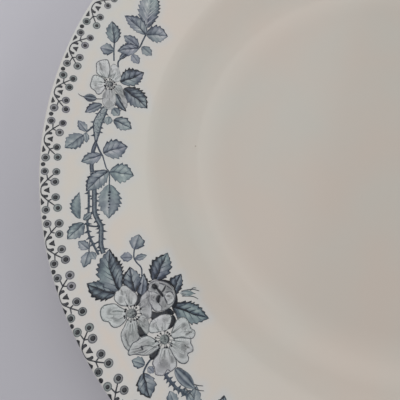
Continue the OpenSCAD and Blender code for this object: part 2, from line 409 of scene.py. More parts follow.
class Shader:
    """A small way to write a node tree: each call adds one node and returns its output."""

    def __init__(self, name):
        self.material = bpy.data.materials.new(name)
        self.material.use_nodes = True
        self.tree = self.material.node_tree
        self.bsdf = next(n for n in self.tree.nodes if n.type == "BSDF_PRINCIPLED")

    def node(self, kind, **settings):
        made = self.tree.nodes.new(kind)
        for key, value in settings.items():
            setattr(made, key, value)
        return made

    def plug(self, value, socket):
        if isinstance(value, bpy.types.NodeSocket):
            self.tree.links.new(value, socket)
        else:
            socket.default_value = value

    def math(self, operation, *values):
        made = self.node("ShaderNodeMath", operation=operation)
        for value, socket in zip(values, made.inputs):
            self.plug(value, socket)
        return made.outputs[0]

    def position(self):
        return self.node("ShaderNodeTexCoord").outputs["Object"]

    def reach(self):
        """Distance from the plate's middle, in metres."""
        made = self.node("ShaderNodeVectorMath", operation="LENGTH")
        self.plug(self.position(), made.inputs[0])
        return made.outputs["Value"]

    def parts(self, vector):
        split = self.node("ShaderNodeSeparateXYZ")
        self.plug(vector, split.inputs[0])
        return split.outputs[0], split.outputs[1]

    def pattern(self):
        """The pattern coordinates of a film: along the patch, and across it."""
        return self.parts(self.node("ShaderNodeUVMap", uv_map="pattern").outputs[0])

    def attribute(self, name):
        return self.node("ShaderNodeAttribute", attribute_name=name).outputs["Fac"]

    def noise(self, scale, detail=3.0):
        made = self.node("ShaderNodeTexNoise")
        for key, value in (("Scale", scale), ("Detail", detail), ("Vector", self.position())):
            self.plug(value, made.inputs[key])
        return made.outputs["Fac"]

    def ramp(self, value, stops):
        made = self.node("ShaderNodeValToRGB")
        elements = made.color_ramp.elements
        while len(elements) < len(stops):
            elements.new(0.5)
        for element, (at, colour) in zip(elements, stops):
            element.position = at
            element.color = (*colour, 1.0)
        self.plug(value, made.inputs[0])
        return made.outputs[0]

    def span(self, value, low, high, to_low=0.0, to_high=1.0, smooth=False):
        made = self.node("ShaderNodeMapRange", clamp=True)
        if smooth:
            made.interpolation_type = "SMOOTHSTEP"
        for v, socket in zip((value, low, high, to_low, to_high), made.inputs):
            self.plug(v, socket)
        return made.outputs[0]

    def mix(self, factor, a, b, blend="MIX"):
        made = self.node("ShaderNodeMix", data_type="RGBA", blend_type=blend)
        for v, key in ((factor, 0), (a, 6), (b, 7)):
            self.plug((*v, 1.0) if isinstance(v, tuple) else v, made.inputs[key])
        return made.outputs[2]

    def bump(self, height, distance, strength):
        made = self.node("ShaderNodeBump")
        made.inputs["Strength"].default_value = strength
        made.inputs["Distance"].default_value = distance
        self.plug(height, made.inputs["Height"])
        self.plug(made.outputs[0], self.bsdf.inputs["Normal"])

    def albedo(self, colour):
        self.plug(colour, self.bsdf.inputs["Base Color"])

    def gloss(self):
        """The clear glaze over everything: slightly wavy, with a little unevenness in its polish."""
        self.plug(self.span(self.noise(60), 0.3, 0.7, 0.16, 0.24), self.bsdf.inputs["Roughness"])
        self.bsdf.inputs["IOR"].default_value = 1.5
        self.bump(self.noise(45, 2.0), 0.00025, 0.35)


# Albedo of the glaze, of the haze round the print and of a pinhole, and how far painted shade darkens the well.
CREAM, CREAM_WARM, CREAM_COOL = (0.66, 0.60, 0.52), (0.68, 0.585, 0.51), (0.62, 0.62, 0.565)
BLEED = (0.595, 0.605, 0.595)
PINHOLE = (0.30, 0.23, 0.17)
WELL_SHADE = (0.88, 0.875, 0.87)
# Unglazed clay, and the paper that the plate lies on, with painted shade towards the front and painted light far off.
CLAY_DARK, CLAY_LIGHT, CLAY_STAIN = (0.50, 0.42, 0.32), (0.62, 0.54, 0.43), (0.30, 0.25, 0.19)
PAPER, PAPER_LIGHT, PAPER_SHADE, PAPER_FAR_PAINTED_LIGHT = (0.58, 0.57, 0.605), (0.595, 0.585, 0.62), (0.86,) * 3, (0.97,) * 3
# How the ink drifts.
VIOLET, GREEN = (0.96, 0.90, 1.0), (0.89, 1.0, 0.955)


def glaze_material(name, bleed):
    s = Shader(name)
    drift = s.span(s.noise(28, 2.0), 0.35, 0.65)
    colour = s.mix(drift, CREAM_WARM, CREAM_COOL)
    colour = s.mix(0.5, colour, CREAM)
    if bleed:
        # Painted shade: the well is a little darker than the border and the back.
        colour = s.mix(s.span(s.reach(), 0.058, 0.073, 1.0, 0.0, smooth=True), colour, WELL_SHADE, "MULTIPLY")
        colour = s.mix(s.attribute("bleed"), colour, BLEED)
    # A few pinholes, brown with age, in every hand's breadth of glaze.
    cells = s.node("ShaderNodeTexVoronoi")
    cells.inputs["Scale"].default_value = 70
    s.plug(s.position(), cells.inputs["Vector"])
    rare = s.span(s.noise(31, 0.0), 0.62, 0.64)
    pit = s.math("MULTIPLY", s.span(cells.outputs["Distance"], 0.012, 0.022, 0.7, 0.0), rare)
    colour = s.mix(pit, colour, PINHOLE)
    s.albedo(colour)
    s.gloss()
    return s.material


def clay_material():
    s = Shader("bare_clay")
    grain = s.noise(900, 4.0)
    colour = s.mix(s.span(grain, 0.3, 0.7), CLAY_DARK, CLAY_LIGHT)
    colour = s.mix(s.span(s.noise(60, 3.0), 0.5, 0.75, 0.0, 0.5), colour, CLAY_STAIN)
    s.albedo(colour)
    s.plug(s.span(grain, 0.3, 0.7, 0.75, 0.95), s.bsdf.inputs["Roughness"])
    s.bump(grain, 0.00008, 0.8)
    return s.material


# Albedo of the print by tone, from full ink to bare glaze: slate blue for the foliage, grey for the rest.
SLATE = [
    (0.00, (0.005, 0.006, 0.009)),
    (0.15, (0.018, 0.027, 0.045)),
    (0.30, (0.070, 0.093, 0.121)),
    (0.50, (0.182, 0.214, 0.238)),
    (0.65, (0.253, 0.289, 0.302)),
    (0.80, (0.368, 0.397, 0.403)),
    (0.92, (0.535, 0.555, 0.540)),
    (1.00, (0.630, 0.635, 0.610)),
]
GREY = [
    (0.00, (0.005, 0.006, 0.009)),
    (0.15, (0.032, 0.035, 0.044)),
    (0.30, (0.093, 0.099, 0.110)),
    (0.50, (0.211, 0.217, 0.218)),
    (0.65, (0.293, 0.299, 0.296)),
    (0.80, (0.400, 0.407, 0.402)),
    (0.92, (0.545, 0.553, 0.548)),
    (1.00, (0.640, 0.646, 0.632)),
]


def ink_colour(s, tone, ramp, vary=1.0):
    """Ink of a tone, drifting a little between violet and green as the old print does."""
    drift = s.noise(85, 1.5)
    colour = s.ramp(tone, ramp)
    colour = s.mix(s.span(drift, 0.53, 0.68, 0.0, 0.9 * vary), colour, VIOLET, "MULTIPLY")
    colour = s.mix(s.span(drift, 0.53, 0.38, 0.0, 0.8 * vary), colour, GREEN, "MULTIPLY")
    s.albedo(colour)
    s.gloss()
    return s.material


def solid_ink(name, ramp):
    """Solid lines and dots, a little broken where the copper plate held less ink."""
    s = Shader(name)
    tone = s.math("ADD", s.attribute("tone"), s.span(s.noise(1500, 2.0), 0.35, 0.75, -0.05, 0.09))
    return ink_colour(s, tone, ramp)


def leaf_ink(name):
    """Leaf fill: the drawn tone, hatched finely along the side veins."""
    s = Shader(name)
    u, v = s.pattern()
    slant = s.math("MULTIPLY_ADD", s.math("ABSOLUTE", v), -0.24, u)
    hatch = s.math("MULTIPLY", s.math("SINE", s.math("MULTIPLY", slant, 190.0)), 0.035)
    mottle = s.span(s.noise(420, 3.0), 0.3, 0.7, -0.15, 0.13)
    return ink_colour(s, s.math("ADD", s.math("ADD", s.attribute("tone"), hatch), mottle), SLATE)


def petal_ink(name):
    """Petal fill: nearly bare, with very fine strokes that run out from the middle."""
    s = Shader(name)
    u, _ = s.pattern()
    stroke = s.span(s.math("SINE", s.math("MULTIPLY", u, 300.0)), -1.0, 1.0, -0.05, 0.03)
    cloud = s.span(s.noise(350, 3.0), 0.3, 0.7, -0.09, 0.07)
    return ink_colour(s, s.math("ADD", s.math("ADD", s.attribute("tone"), stroke), cloud), GREY, 0.35)


# ---------------------------------------------------------------- camera, floor and light

CAMERA_AT = Vector((-59.84, -51.16, 154.52)) * MM
CAMERA_LOOKS_AT = Vector((-68.14, -15.47, 20)) * MM
CAMERA_UP = Vector((0.055, 0.966, 0.253))
LENS = 39.6


def aim(obj, target, up=Vector((0, 1, 0))):
    back = (obj.location - target).normalized()
    right = up.cross(back).normalized()
    turn = Matrix((right, back.cross(right), back)).transposed().to_4x4()
    obj.matrix_world = Matrix.Translation(obj.location) @ turn


def camera():
    data = bpy.data.cameras.new("camera")
    data.lens = LENS
    data.clip_start = 0.01
    obj = add_object("camera", data)
    obj.location = CAMERA_AT
    aim(obj, CAMERA_LOOKS_AT, CAMERA_UP)
    bpy.context.scene.camera = obj


def softbox(name, at, size, power, colour):
    data = bpy.data.lights.new(name, "AREA")
    data.shape = "RECTANGLE"
    data.size, data.size_y = size
    data.energy = power
    data.color = colour
    obj = add_object(name, data)
    obj.location = at
    aim(obj, Vector((0, 0, 0.01)))
    return obj


def floor():
    sides, rings = 96, (0.2, 0.5, 1.0, 2.0, 4.0, 8.0, 16.0)
    verts = [(0.0, 0.0, 0.0)] + [(x, y, 0.0) for r in rings for x, y in circle(0.0, 0.0, r, sides)]
    faces = [(0, 1 + i, 1 + (i + 1) % sides) for i in range(sides)]
    for k in range(len(rings) - 1):
        a, b = 1 + k * sides, 1 + (k + 1) * sides
        faces += [(a + i, b + i, b + (i + 1) % sides, a + (i + 1) % sides) for i in range(sides)]
    obj = new_object("floor", verts, faces, smooth=False)
    s = Shader("floor")
    paper = s.mix(s.span(s.noise(9, 2.0), 0.35, 0.65), PAPER, PAPER_LIGHT)
    # Painted shade darkens the paper a little towards the front, and far off it fades to painted light at the studio's
    # own brightness.
    _, towards_back = s.parts(s.position())
    paper = s.mix(s.span(towards_back, -0.09, 0.06, 0.85, 0.0), paper, PAPER_SHADE, "MULTIPLY")
    paper = s.mix(s.span(s.reach(), 0.7, 2.0, smooth=True), paper, PAPER_FAR_PAINTED_LIGHT)
    s.albedo(paper)
    s.bsdf.inputs["Roughness"].default_value = 0.9
    s.bsdf.inputs["Specular IOR Level"].default_value = 0.05
    obj.data.materials.append(s.material)
    obj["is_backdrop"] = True


def light():
    world = bpy.data.worlds.new("studio")
    world.use_nodes = True
    background = world.node_tree.nodes["Background"]
    background.inputs[0].default_value = (0.93, 0.95, 1.0, 1.0)
    background.inputs[1].default_value = 0.45
    bpy.context.scene.world = world
    # The fill's mirror image doesn't show in the glaze.
    softbox("key", Vector((-0.28, 0.27, 0.45)), (1.0, 0.9), 2.2, (1.0, 0.985, 0.97))
    fill = softbox("fill", Vector((0.9, -0.5, 0.45)), (0.8, 0.8), 4.0, (1.0, 0.99, 0.985))
    fill.visible_glossy = False
    bpy.context.scene.view_settings.view_transform = "Standard"


# ---------------------------------------------------------------- print: edging

SCALLOPS = 42
EDGING_R = 117.5
EDGING_SHIFT = (-0.9, -1.4)
UNIT = 2 * math.pi * 117.85 / SCALLOPS
HALF_UNIT = UNIT / 2
LINE_LIFT, FILL_LIFT = 0.034, 0.026
FULL_INK = 0.02
# The transfer was laid by hand: how far a dot sits along and out from its even place.
STRETCH = {-3: (0.5, 0.2), -2: (0.35, 0.0), -1: (-0.25, -0.4), 0: (0.1, 0.0), 1: (0.35, 0.0), 2: (0.35, 0.25),
           3: (0.05, 0.3), 4: (0.0, 0.1)}
EVEN = (0.0, 0.1)
DOT_R, BERRY_R, BERRY_LINE, SEED_R = 0.74, 1.3, 0.26, 0.7

# Shapes in one half of a unit, each point as the distance along the rim from the dot and the rise over the dots.
RIM_BERRY = (2.35, -0.65)
INNER_BERRIES = ((2.65, -4.25), (6.2, -3.75))
STALK_ROOT = (5.2, -1.53)
ARCH = (STALK_ROOT, (5.7, -1.12), (6.5, -0.35), (7.3, 0.25), (8.2, 0.52), (HALF_UNIT, 0.56))
ARCH_TAIL = ((3.5, -1.3), (4.4, -1.42), STALK_ROOT)
CRESCENT = ((6.35, -0.75), (6.95, -0.25), (7.6, 0.22), (7.3, -0.55), (7.25, -1.45), (6.75, -1.62), (6.35, -1.3),
            (6.35, -0.75))
SPANDREL = ((4.1, 0.72), (4.15, 0.4), (4.25, 0.1), (4.5, -0.2), (4.85, -0.42), (5.1, -0.25), (5.4, -0.05), (5.9, 0.25),
            (6.5, 0.62), (5.9, 0.72), (5.3, 0.78), (4.7, 0.76))
# The triangle under a scallop, from the scallop's middle.
TRIANGLE = ((-0.98, -2.1), (0, -2.02), (0.98, -2.1), (0.72, -1.5), (0.2, -0.5), (-0.2, -0.5), (-0.72, -1.5),
            (-0.98, -2.1))


def edging_point(s, rise):
    """A place on the edging from the distance along the rim and the rise over the line of dots."""
    k = math.floor(s / UNIT)
    t = s / UNIT - k
    a, b = (STRETCH.get((k + end + SCALLOPS // 2) % SCALLOPS - SCALLOPS // 2, EVEN) for end in (0, 1))
    angle = math.pi + (s + a[0] + (b[0] - a[0]) * t) * 2 * math.pi / (SCALLOPS * UNIT)
    r = EDGING_R + a[1] + (b[1] - a[1]) * t + rise
    return r * math.cos(angle) + EDGING_SHIFT[0], r * math.sin(angle) + EDGING_SHIFT[1]


def edging(parts):
    rng = random.Random(SEED)
    for k in range(SCALLOPS):
        parts["dots"].disc(*edging_point(k * UNIT, 0), DOT_R + rng.uniform(-0.05, 0.05), LINE_LIFT, FULL_INK, 18, 4)
    for k in range(SCALLOPS):
        for start, way in ((k * UNIT, 1), ((k + 1) * UNIT - 1e-6, -1)):
            half_unit(parts, lambda s, rise: edging_point(start + way * s, rise), rng)
        middle = lambda s, rise: edging_point((k + 0.5) * UNIT + s, rise)
        parts["triangles"].fan(curve([middle(*p) for p in TRIANGLE], 3)[:-1], LINE_LIFT, 0.05, 3)


def half_unit(parts, at, rng):
    for s, rise in (RIM_BERRY, *INNER_BERRIES):
        x, y = at(s + rng.uniform(-0.12, 0.12), rise + rng.uniform(-0.1, 0.1))
        size = BERRY_R * rng.uniform(0.93, 1.06)
        ink = rng.uniform(-0.05, 0.05)
        parts["berry_fill"].disc(x, y, size, FILL_LIFT, 0.56 + ink, 20, 3)
        parts["berries"].ring(x, y, size - BERRY_LINE, size, LINE_LIFT, 0.36 + ink)
        parts["berries"].disc(x + rng.uniform(-0.1, 0.1), y + rng.uniform(-0.1, 0.1),
                              SEED_R * rng.uniform(0.85, 1.12), LINE_LIFT, FULL_INK, 12, 2)
    # The scallop line runs on past its stalks to the rim berry.
    parts["scallops"].line(curve([at(*p) for p in ARCH], 4), 0.36, LINE_LIFT, 0.12)
    parts["scallops"].line(curve([at(*p) for p in ARCH_TAIL], 3), 0.36, LINE_LIFT, 0.2)
    for berry in INNER_BERRIES:
        root, tip = at(*STALK_ROOT), at(*berry)
        tip = between(root, tip, 1 - BERRY_R / math.dist(root, tip))
        parts["stalks"].line([root, tip], [0.46, 0.34], LINE_LIFT + 0.002, 0.16)
    # A dark crescent fills the scallop's shoulder, and a dark spandrel stands against the rim outside it.
    parts["triangles"].fan(curve([at(*p) for p in CRESCENT], 3)[:-1], LINE_LIFT, 0.08, 3)
    parts["triangles"].fan([at(*p) for p in SPANDREL], LINE_LIFT, 0.05, 5)


# ---------------------------------------------------------------- print: garland

# Lifts off the glaze, in mm, that stack the films, and the step between patches of one kind.
LEVEL_STEM, LEVEL_STEM_LINE, LEVEL_LEAF, DARK_LEAF_LIFT = 0.020, 0.026, 0.030, 0.0122
LEVEL_GAP, LEVEL_PETAL, LEVEL_BUD, LEVEL_STAMEN = 0.056, 0.060, 0.090, 0.092
LAYER = 0.0006
GARLANDS = 3

# Base, tip, half width to the left and to the right, tone, bend, darker side (1 is left), veins.
DARK_LEAVES = [
    (-94.4, 28.9, -86.2, 32.7, 3.8, 3.0, 0.46, 8, 1, "dark"),
    (-93.2, 26.3, -85.3, 19.2, 3.7, 3.2, 0.48, -4, 1, "dark"),
    (-95.9, 24.4, -92.4, 17.8, 1.2, 1.9, 0.35, 6, 1, "none"),
    (-96.6, 14.6, -90.6, 11.5, 2.6, 2.3, 0.55, -6, 1, "dark"),
    (-99.8, 2.7, -91.9, 5.1, 3.6, 3.5, 0.57, -8, 1, "dark"),
    (-100.5, 2.0, -106.8, -0.5, 2.2, 2.2, 0.58, 0, -1, "dark"),
    (-94.9, -43.4, -103.5, -40.1, 3.3, 2.6, 0.42, -8, 1, "dark"),
    (-93.6, -42.6, -97.0, -29.5, 4.1, 3.9, 0.48, -24, -1, "dark"),
    (-89.4, -43.4, -90.9, -35.3, 3.0, 2.8, 0.44, 0, 1, "dark"),
    (-83.5, -40.2, -79.3, -31.1, 3.4, 3.3, 0.43, 0, 1, "dark"),
    (-78.6, -45.0, -75.2, -37.9, 2.8, 2.0, 0.30, 0, 1, "dark"),
    (-77.9, -47.6, -67.0, -51.8, 3.3, 3.3, 0.44, 6, 1, "dark"),
    (-86.2, -66.2, -84.2, -72.9, 2.8, 2.7, 0.46, 6, -1, "dark"),
    (-66.0, -82.0, -63.5, -73.0, 2.9, 2.7, 0.49, 6, 1, "dark"),
    (-61.0, -85.5, -62.8, -94.2, 2.9, 2.7, 0.51, -6, -1, "dark"),
]
PALE_LEAVES = [
    (-85.0, 49.6, -81.9, 65.2, 3.7, 3.9, 0.58, -6, -1, "pale"),
    (-85.3, 47.1, -92.6, 54.1, 2.2, 3.2, 0.58, 8, -1, "dark"),
    (-85.1, 47.1, -77.5, 46.7, 3.7, 3.0, 0.58, -8, 1, "dark"),
    (-87.9, 42.4, -93.0, 46.4, 1.9, 2.2, 0.60, 0, -1, "dark"),
    (-88.0, 41.8, -95.3, 40.3, 2.6, 2.2, 0.56, 8, -1, "dark"),
    (-92.4, 39.4, -94.6, 37.4, 0.9, 0.9, 0.44, 0, 1, "none"),
    (-86.8, 42.4, -83.4, 39.2, 1.8, 1.8, 0.62, 0, 1, "none"),
    (-90.2, 39.3, -87.9, 35.8, 1.6, 1.6, 0.64, 0, 1, "none"),
    (-96.2, 43.4, -96.9, 51.8, 2.5, 2.6, 0.56, 0, -1, "dark"),
    (-96.5, 40.5, -101.1, 41.4, 2.3, 2.3, 0.58, 0, 1, "none"),
    (-100.4, 20.3, -106.0, 17.1, 1.2, 2.2, 0.54, -6, -1, "none"),
    (-105.3, 10.3, -108.1, 14.2, 1.5, 1.5, 0.62, 0, 1, "none"),
    (-105.6, 9.9, -105.2, 6.2, 1.1, 1.1, 0.64, 0, 1, "none"),
    (-106.2, 8.9, -112.0, 4.2, 2.7, 2.9, 0.60, 0, 1, "dark"),
    (-97.6, -3.9, -89.9, -5.2, 3.5, 3.4, 0.60, -6, 1, "dark"),
    (-98.3, -3.6, -104.9, -10.7, 2.9, 3.0, 0.56, 6, -1, "dark"),
    (-97.7, -8.3, -97.6, -19.9, 3.8, 3.5, 0.63, 0, 1, "spots"),
    (-106.3, -19.8, -106.9, -10.8, 3.0, 0.3, 0.62, 0, 1, "none"),
    (-105.2, -21.2, -109.9, -26.4, 2.5, 2.4, 0.58, 0, -1, "dark"),
    (-105.3, -20.2, -102.9, -17.8, 1.1, 1.1, 0.54, 0, -1, "none"),
    (-103.4, -29.5, -106.6, -27.0, 1.6, 1.6, 0.62, 0, -1, "none"),
    (-103.3, -30.4, -104.6, -35.4, 1.7, 1.6, 0.60, 0, 1, "none"),
    (-102.6, -30.4, -101.2, -32.9, 1.1, 1.1, 0.66, 0, 1, "none"),
    (-96.9, 19.0, -94.7, 16.2, 1.7, 1.7, 0.58, 0, 1, "none"),
    (-98.0, 15.9, -98.7, 12.8, 1.4, 1.4, 0.62, 0, 1, "none"),
    (-89.6, -29.9, -88.2, -25.0, 2.2, 2.6, 0.58, 0, -1, "none"),
    (-90.1, -32.4, -93.9, -32.2, 1.5, 1.6, 0.63, 0, 1, "none"),
    (-89.4, -33.0, -85.7, -31.8, 1.1, 1.0, 0.63, 0, 1, "none"),
    (-87.4, -45.6, -86.5, -37.4, 1.7, 1.9, 0.46, 0, -1, "none"),
    (-85.9, -64.0, -89.7, -62.6, 1.6, 1.7, 0.58, 0, 1, "none"),
    (-85.0, -64.6, -83.4, -66.4, 1.1, 1.0, 0.64, 0, 1, "none"),
    (-77.3, -75.2, -78.9, -71.2, 1.7, 1.6, 0.62, 0, 1, "none"),
    (-73.0, -77.0, -71.2, -70.2, 2.2, 2.1, 0.62, 0, 1, "dark"),
    (-70.0, -79.2, -73.4, -84.9, 2.2, 2.1, 0.64, 0, 1, "dark"),
    (-54.0, -88.5, -53.4, -81.0, 2.4, 2.3, 0.60, 0, 1, "dark"),
    (-50.0, -90.5, -48.2, -97.3, 2.4, 2.3, 0.62, 0, 1, "dark"),
    (-46.0, -92.0, -38.2, -94.8, 2.3, 2.3, 0.64, 0, 1, "dark"),
]


class Leaf:
    """A serrated leaf in plan: a bent spine and, on each side, a blade with its own width and teeth."""

    def __init__(self, base, tip, left, right, tone, bend, side, veins, seed):
        self.base, self.length = base, math.dist(base, tip)
        self.heading = math.atan2(tip[1] - base[1], tip[0] - base[0])
        self.bend = math.radians(bend)
        self.half = {1: left, -1: right}
        self.tone, self.side, self.veins = tone, side, veins
        # Paler leaves are modelled more flatly.
        self.depth = 2.8 * (0.92 - tone) - 0.1
        self.rows = min(60, max(22, round(self.length * 5)))
        self.rng = random.Random(seed)
        self.teeth = {way: self.cut_teeth() for way in (1, -1)}
        self.pairs = max(2, round(self.length * 0.36))
        self.drift = self.rng.uniform(0, 2 * math.pi)

    def cut_teeth(self):
        """Where the teeth on one side break back, at uneven steps from near the base to the tip."""
        count = max(3, round(self.length * 0.62))
        steps = [self.rng.uniform(0.7, 1.3) for _ in range(count)]
        scale = 0.86 / sum(steps)
        ends, u = [0.12], 0.12
        for step in steps:
            u += step * scale
            ends.append(u)
        return ends

    def stations(self):
        """Where the rows of the blade lie along it, just short of its ends."""
        return [min(max(i / self.rows, 0.004), 0.996) for i in range(self.rows + 1)]

    def spine(self, u):
        swing = self.bend * (2 * u - 1)
        bow = self.length * self.bend * u * (u - 1)
        c, s = math.cos(self.heading), math.sin(self.heading)
        x, y = self.length * u, bow
        return (self.base[0] + x * c - y * s, self.base[1] + x * s + y * c), self.heading + swing

    def edge(self, u, way):
        """How far out the toothed edge stands, as a part of the blade's width."""
        ends = self.teeth[way]
        k = bisect_right(ends, u) - 1
        if k < 0 or k >= len(ends) - 1:
            return 0.93
        t = (u - ends[k]) / (ends[k + 1] - ends[k])
        return 0.84 + 0.26 * min(t / 0.8, (1 - t) / 0.2)

    def point(self, u, v):
        """A place on the leaf: u along the spine, v across, 1 at the left edge and -1 at the right."""
        (px, py), a = self.spine(u)
        way = 1 if v > 0 else -1
        h = v * self.half[way] * math.sin(math.pi * u ** 0.78) ** (0.72 + 0.42 * u)
        forward = 0.07 * self.length * abs(v) * math.sin(math.pi * u)
        return px - math.sin(a) * h + math.cos(a) * forward, py + math.cos(a) * h + math.sin(a) * forward

    def shade(self, u, v):
        """Tone of the fill: dark along the shaded side of the midrib, light between the side veins."""
        across = abs(v)
        if v * self.side > 0:
            model = -0.28 * math.exp(-((across / 0.24) ** 2)) - 0.34 * max(0.0, across - 0.5) / 0.5
            model += 0.12 * math.exp(-(((across - 0.42) / 0.16) ** 2))
        else:
            model = 0.06 - 0.14 * across ** 2 + 0.16 * math.exp(-(((across - 0.22) / 0.16) ** 2))
        model -= 0.30 * max(0.0, 0.28 - u) / 0.28 + 0.14 * max(0.0, u - 0.8) / 0.2
        model += 0.13 * math.sin(5.2 * u + self.drift) * (0.4 + across)
        if self.veins in ("dark", "pale"):
            w = (u - 0.10 - 0.2 * across) / (0.7 / self.pairs)
            weight = 0.13 if v * self.side > 0 else 0.09
            model += weight * (math.sin(math.pi * (w % 1.0)) ** 2 - 0.4) * min(1.0, across * 3)
        return min(0.92, max(0.04, self.tone + self.depth * model))


COLUMNS = (-1.0, -0.78, -0.5, -0.26, -0.08, 0.08, 0.26, 0.5, 0.78, 1.0)


def leaf(fill, lines, shape, level):
    rows = [[shape.point(u, v * shape.edge(u, 1 if v > 0 else -1)) for v in COLUMNS] for u in shape.stations()]
    uvs = [[(u, v) for v in COLUMNS] for u in shape.stations()]
    fill.grid(rows, uvs, level, [[shape.shade(u, v) for v in COLUMNS] for u in shape.stations()])
    leaf_edge(lines, shape, level + 0.4 * LAYER)
    leaf_veins(lines, shape, level + 0.5 * LAYER)


def leaf_edge(lines, shape, level):
    """The leaf's dark edge, heavier on the shaded side and at the teeth."""
    size = min(1.0, shape.length / 9)
    for way in (-1, 1):
        shaded = way == shape.side
        heavy = (0.85 if shaded else 0.32) * size
        tone = max(0.04, shape.tone - (0.42 if shaded else 0.26) * shape.depth)
        rows, uvs = [], []
        for u in shape.stations():
            reach = shape.edge(u, way)
            thick = heavy * (0.35 + 3.2 * max(0.0, reach - 0.9)) + 0.05
            outer, spine = shape.point(u, way * reach), shape.point(u, 0)
            t = min(1.0, thick / (math.dist(outer, spine) + 1e-6))
            rows.append([outer, between(outer, spine, t)])
            uvs.append([(u, 0.0), (u, 1.0)])
        lines.grid(rows, uvs, level, tone)


def leaf_veins(lines, shape, level):
    if shape.veins == "none":
        tone = max(0.05, shape.tone - 0.24)
        lines.line([shape.point(u, 0) for u in (0.02, 0.3, 0.55, 0.75)], [0.3, 0.24, 0.16, 0.06], level, tone)
        return
    if shape.veins == "spots":
        for k in range(6):
            u = 0.22 + 0.09 * k
            x, y = shape.point(u, 0.03 * (-1) ** k)
            lines.disc(x, y, 0.42 - 0.03 * k, level, 0.16, 10)
        lines.line([shape.point(u, 0) for u in (0.0, 0.1, 0.2)], [0.3, 0.3, 0.2], level, 0.25)
        lines.line([shape.point(u, 0) for u in (0.74, 0.85, 0.95)], [0.2, 0.16, 0.06], level, 0.3)
        return
    pale = shape.veins == "pale"
    tone = min(0.8, shape.tone + 0.14) if pale else max(0.05, shape.tone - 0.42 * shape.depth)
    count = 10
    wander = shape.rng.uniform(0, 6)
    spine = [shape.point(0.97 * i / count, 0.05 * math.sin(1.1 * i + wander)) for i in range(count + 1)]
    weight = 0.07 * min(9.0, shape.length) * (0.5 + 0.5 * shape.depth)
    lines.line(spine, [weight * (1 - 0.85 * i / count) * (1 + 0.25 * math.sin(2.1 * i)) for i in range(count + 1)],
               level + 0.1 * LAYER, tone)
    for k in range(shape.pairs):
        for way in (-1, 1):
            u = 0.10 + 0.7 * k / shape.pairs + shape.rng.uniform(-0.02, 0.02)
            far = shape.rng.uniform(0.6, 0.9)
            points = [shape.point(u + 0.2 * t, way * far * t) for t in (0.0, 0.3, 0.65, 1.0)]
            dim = way == shape.side
            stout = weight * (0.7 if dim else 0.4)
            lines.line(points, [stout, stout * 0.7, stout * 0.35, 0.05], level, tone + (0.12 if dim else 0.24))


# Stems, as width or widths, whether thorned, tone of the two edges, tone between them, and a route in plan.
STEMS = [
    (0.55, False, 0.24, 0.3, [(-85.3, 47.1), (-86.5, 44.5), (-87.6, 42.2), (-90, 39.9), (-93, 38.2), (-94.9, 36.5),
     (-95, 34.2)]),
    (0.5, False, 0.26, 0.34, [(-96.2, 43.6), (-96.4, 40.6), (-96.4, 36.6)]),
    ((1.9, 2.8, 3.1, 2.3, 0.8), True, 0.2, 0.72, [(-99.2, 19.2), (-100.6, 16.2), (-101.7, 13.4), (-102, 10.2),
     (-102.2, 6.6)]),
    ((0.8, 1.3, 1.3, 1.3, 1.3), False, 0.2, 0.36, [(-102.2, 6.8), (-102.6, 5.2), (-103.1, 3), (-103.4, -1.8),
     (-103.1, -4.2)]),
    (0.6, False, 0.24, 0.34, [(-102.3, 6.8), (-101.7, 5.2), (-100.9, 3.3), (-100, 1.6)]),
    (0.42, False, 0.3, 0.4, [(-100, 1.8), (-98.8, -2.5), (-97.8, -4.1), (-97.7, -8.4)]),
    (0.6, False, 0.26, 0.36, [(-102.8, 12.6), (-104, 11.3), (-105.4, 10)]),
    (0.7, True, 0.24, 0.34, [(-104.1, -9.8), (-103.9, -15), (-103.9, -18.5), (-104.1, -21.4), (-103.6, -24.5),
     (-102.4, -27.4), (-100.3, -31.4)]),
    (1.5, True, 0.2, 0.44, [(-102.4, -8.8), (-102.2, -13), (-102, -17.6), (-100.9, -20.3), (-99.9, -22.4),
     (-99.8, -25.3), (-99.7, -28.3), (-98.9, -31)]),
    (0.55, False, 0.18, 0.3, [(-104, -22), (-102, -22.3), (-100.4, -22.3)]),
    (0.4, False, 0.32, 0.4, [(-103.1, -26), (-103.1, -28.4), (-103.2, -30.2), (-102.5, -31)]),
    (0.45, False, 0.28, 0.38, [(-89.6, -29.8), (-89.7, -32.4), (-88.8, -34.1), (-87.4, -35.8), (-87.2, -38.4)]),
    (0.9, True, 0.26, 0.5, [(-80.3, -66.6), (-79.3, -68), (-77.8, -69.7), (-76.5, -71), (-74.7, -71.6), (-73.8, -73),
     (-70.5, -77.4), (-64, -83), (-58, -86.8), (-50, -90.5)]),
    (0.55, False, 0.22, 0.34, [(-82.6, -61.3), (-84.2, -62.6), (-85.3, -64), (-86.1, -65.6), (-86.2, -66.4)]),
    (0.6, False, 0.24, 0.36, [(-50, -90.5), (-47.5, -91.6), (-46, -92)]),
]


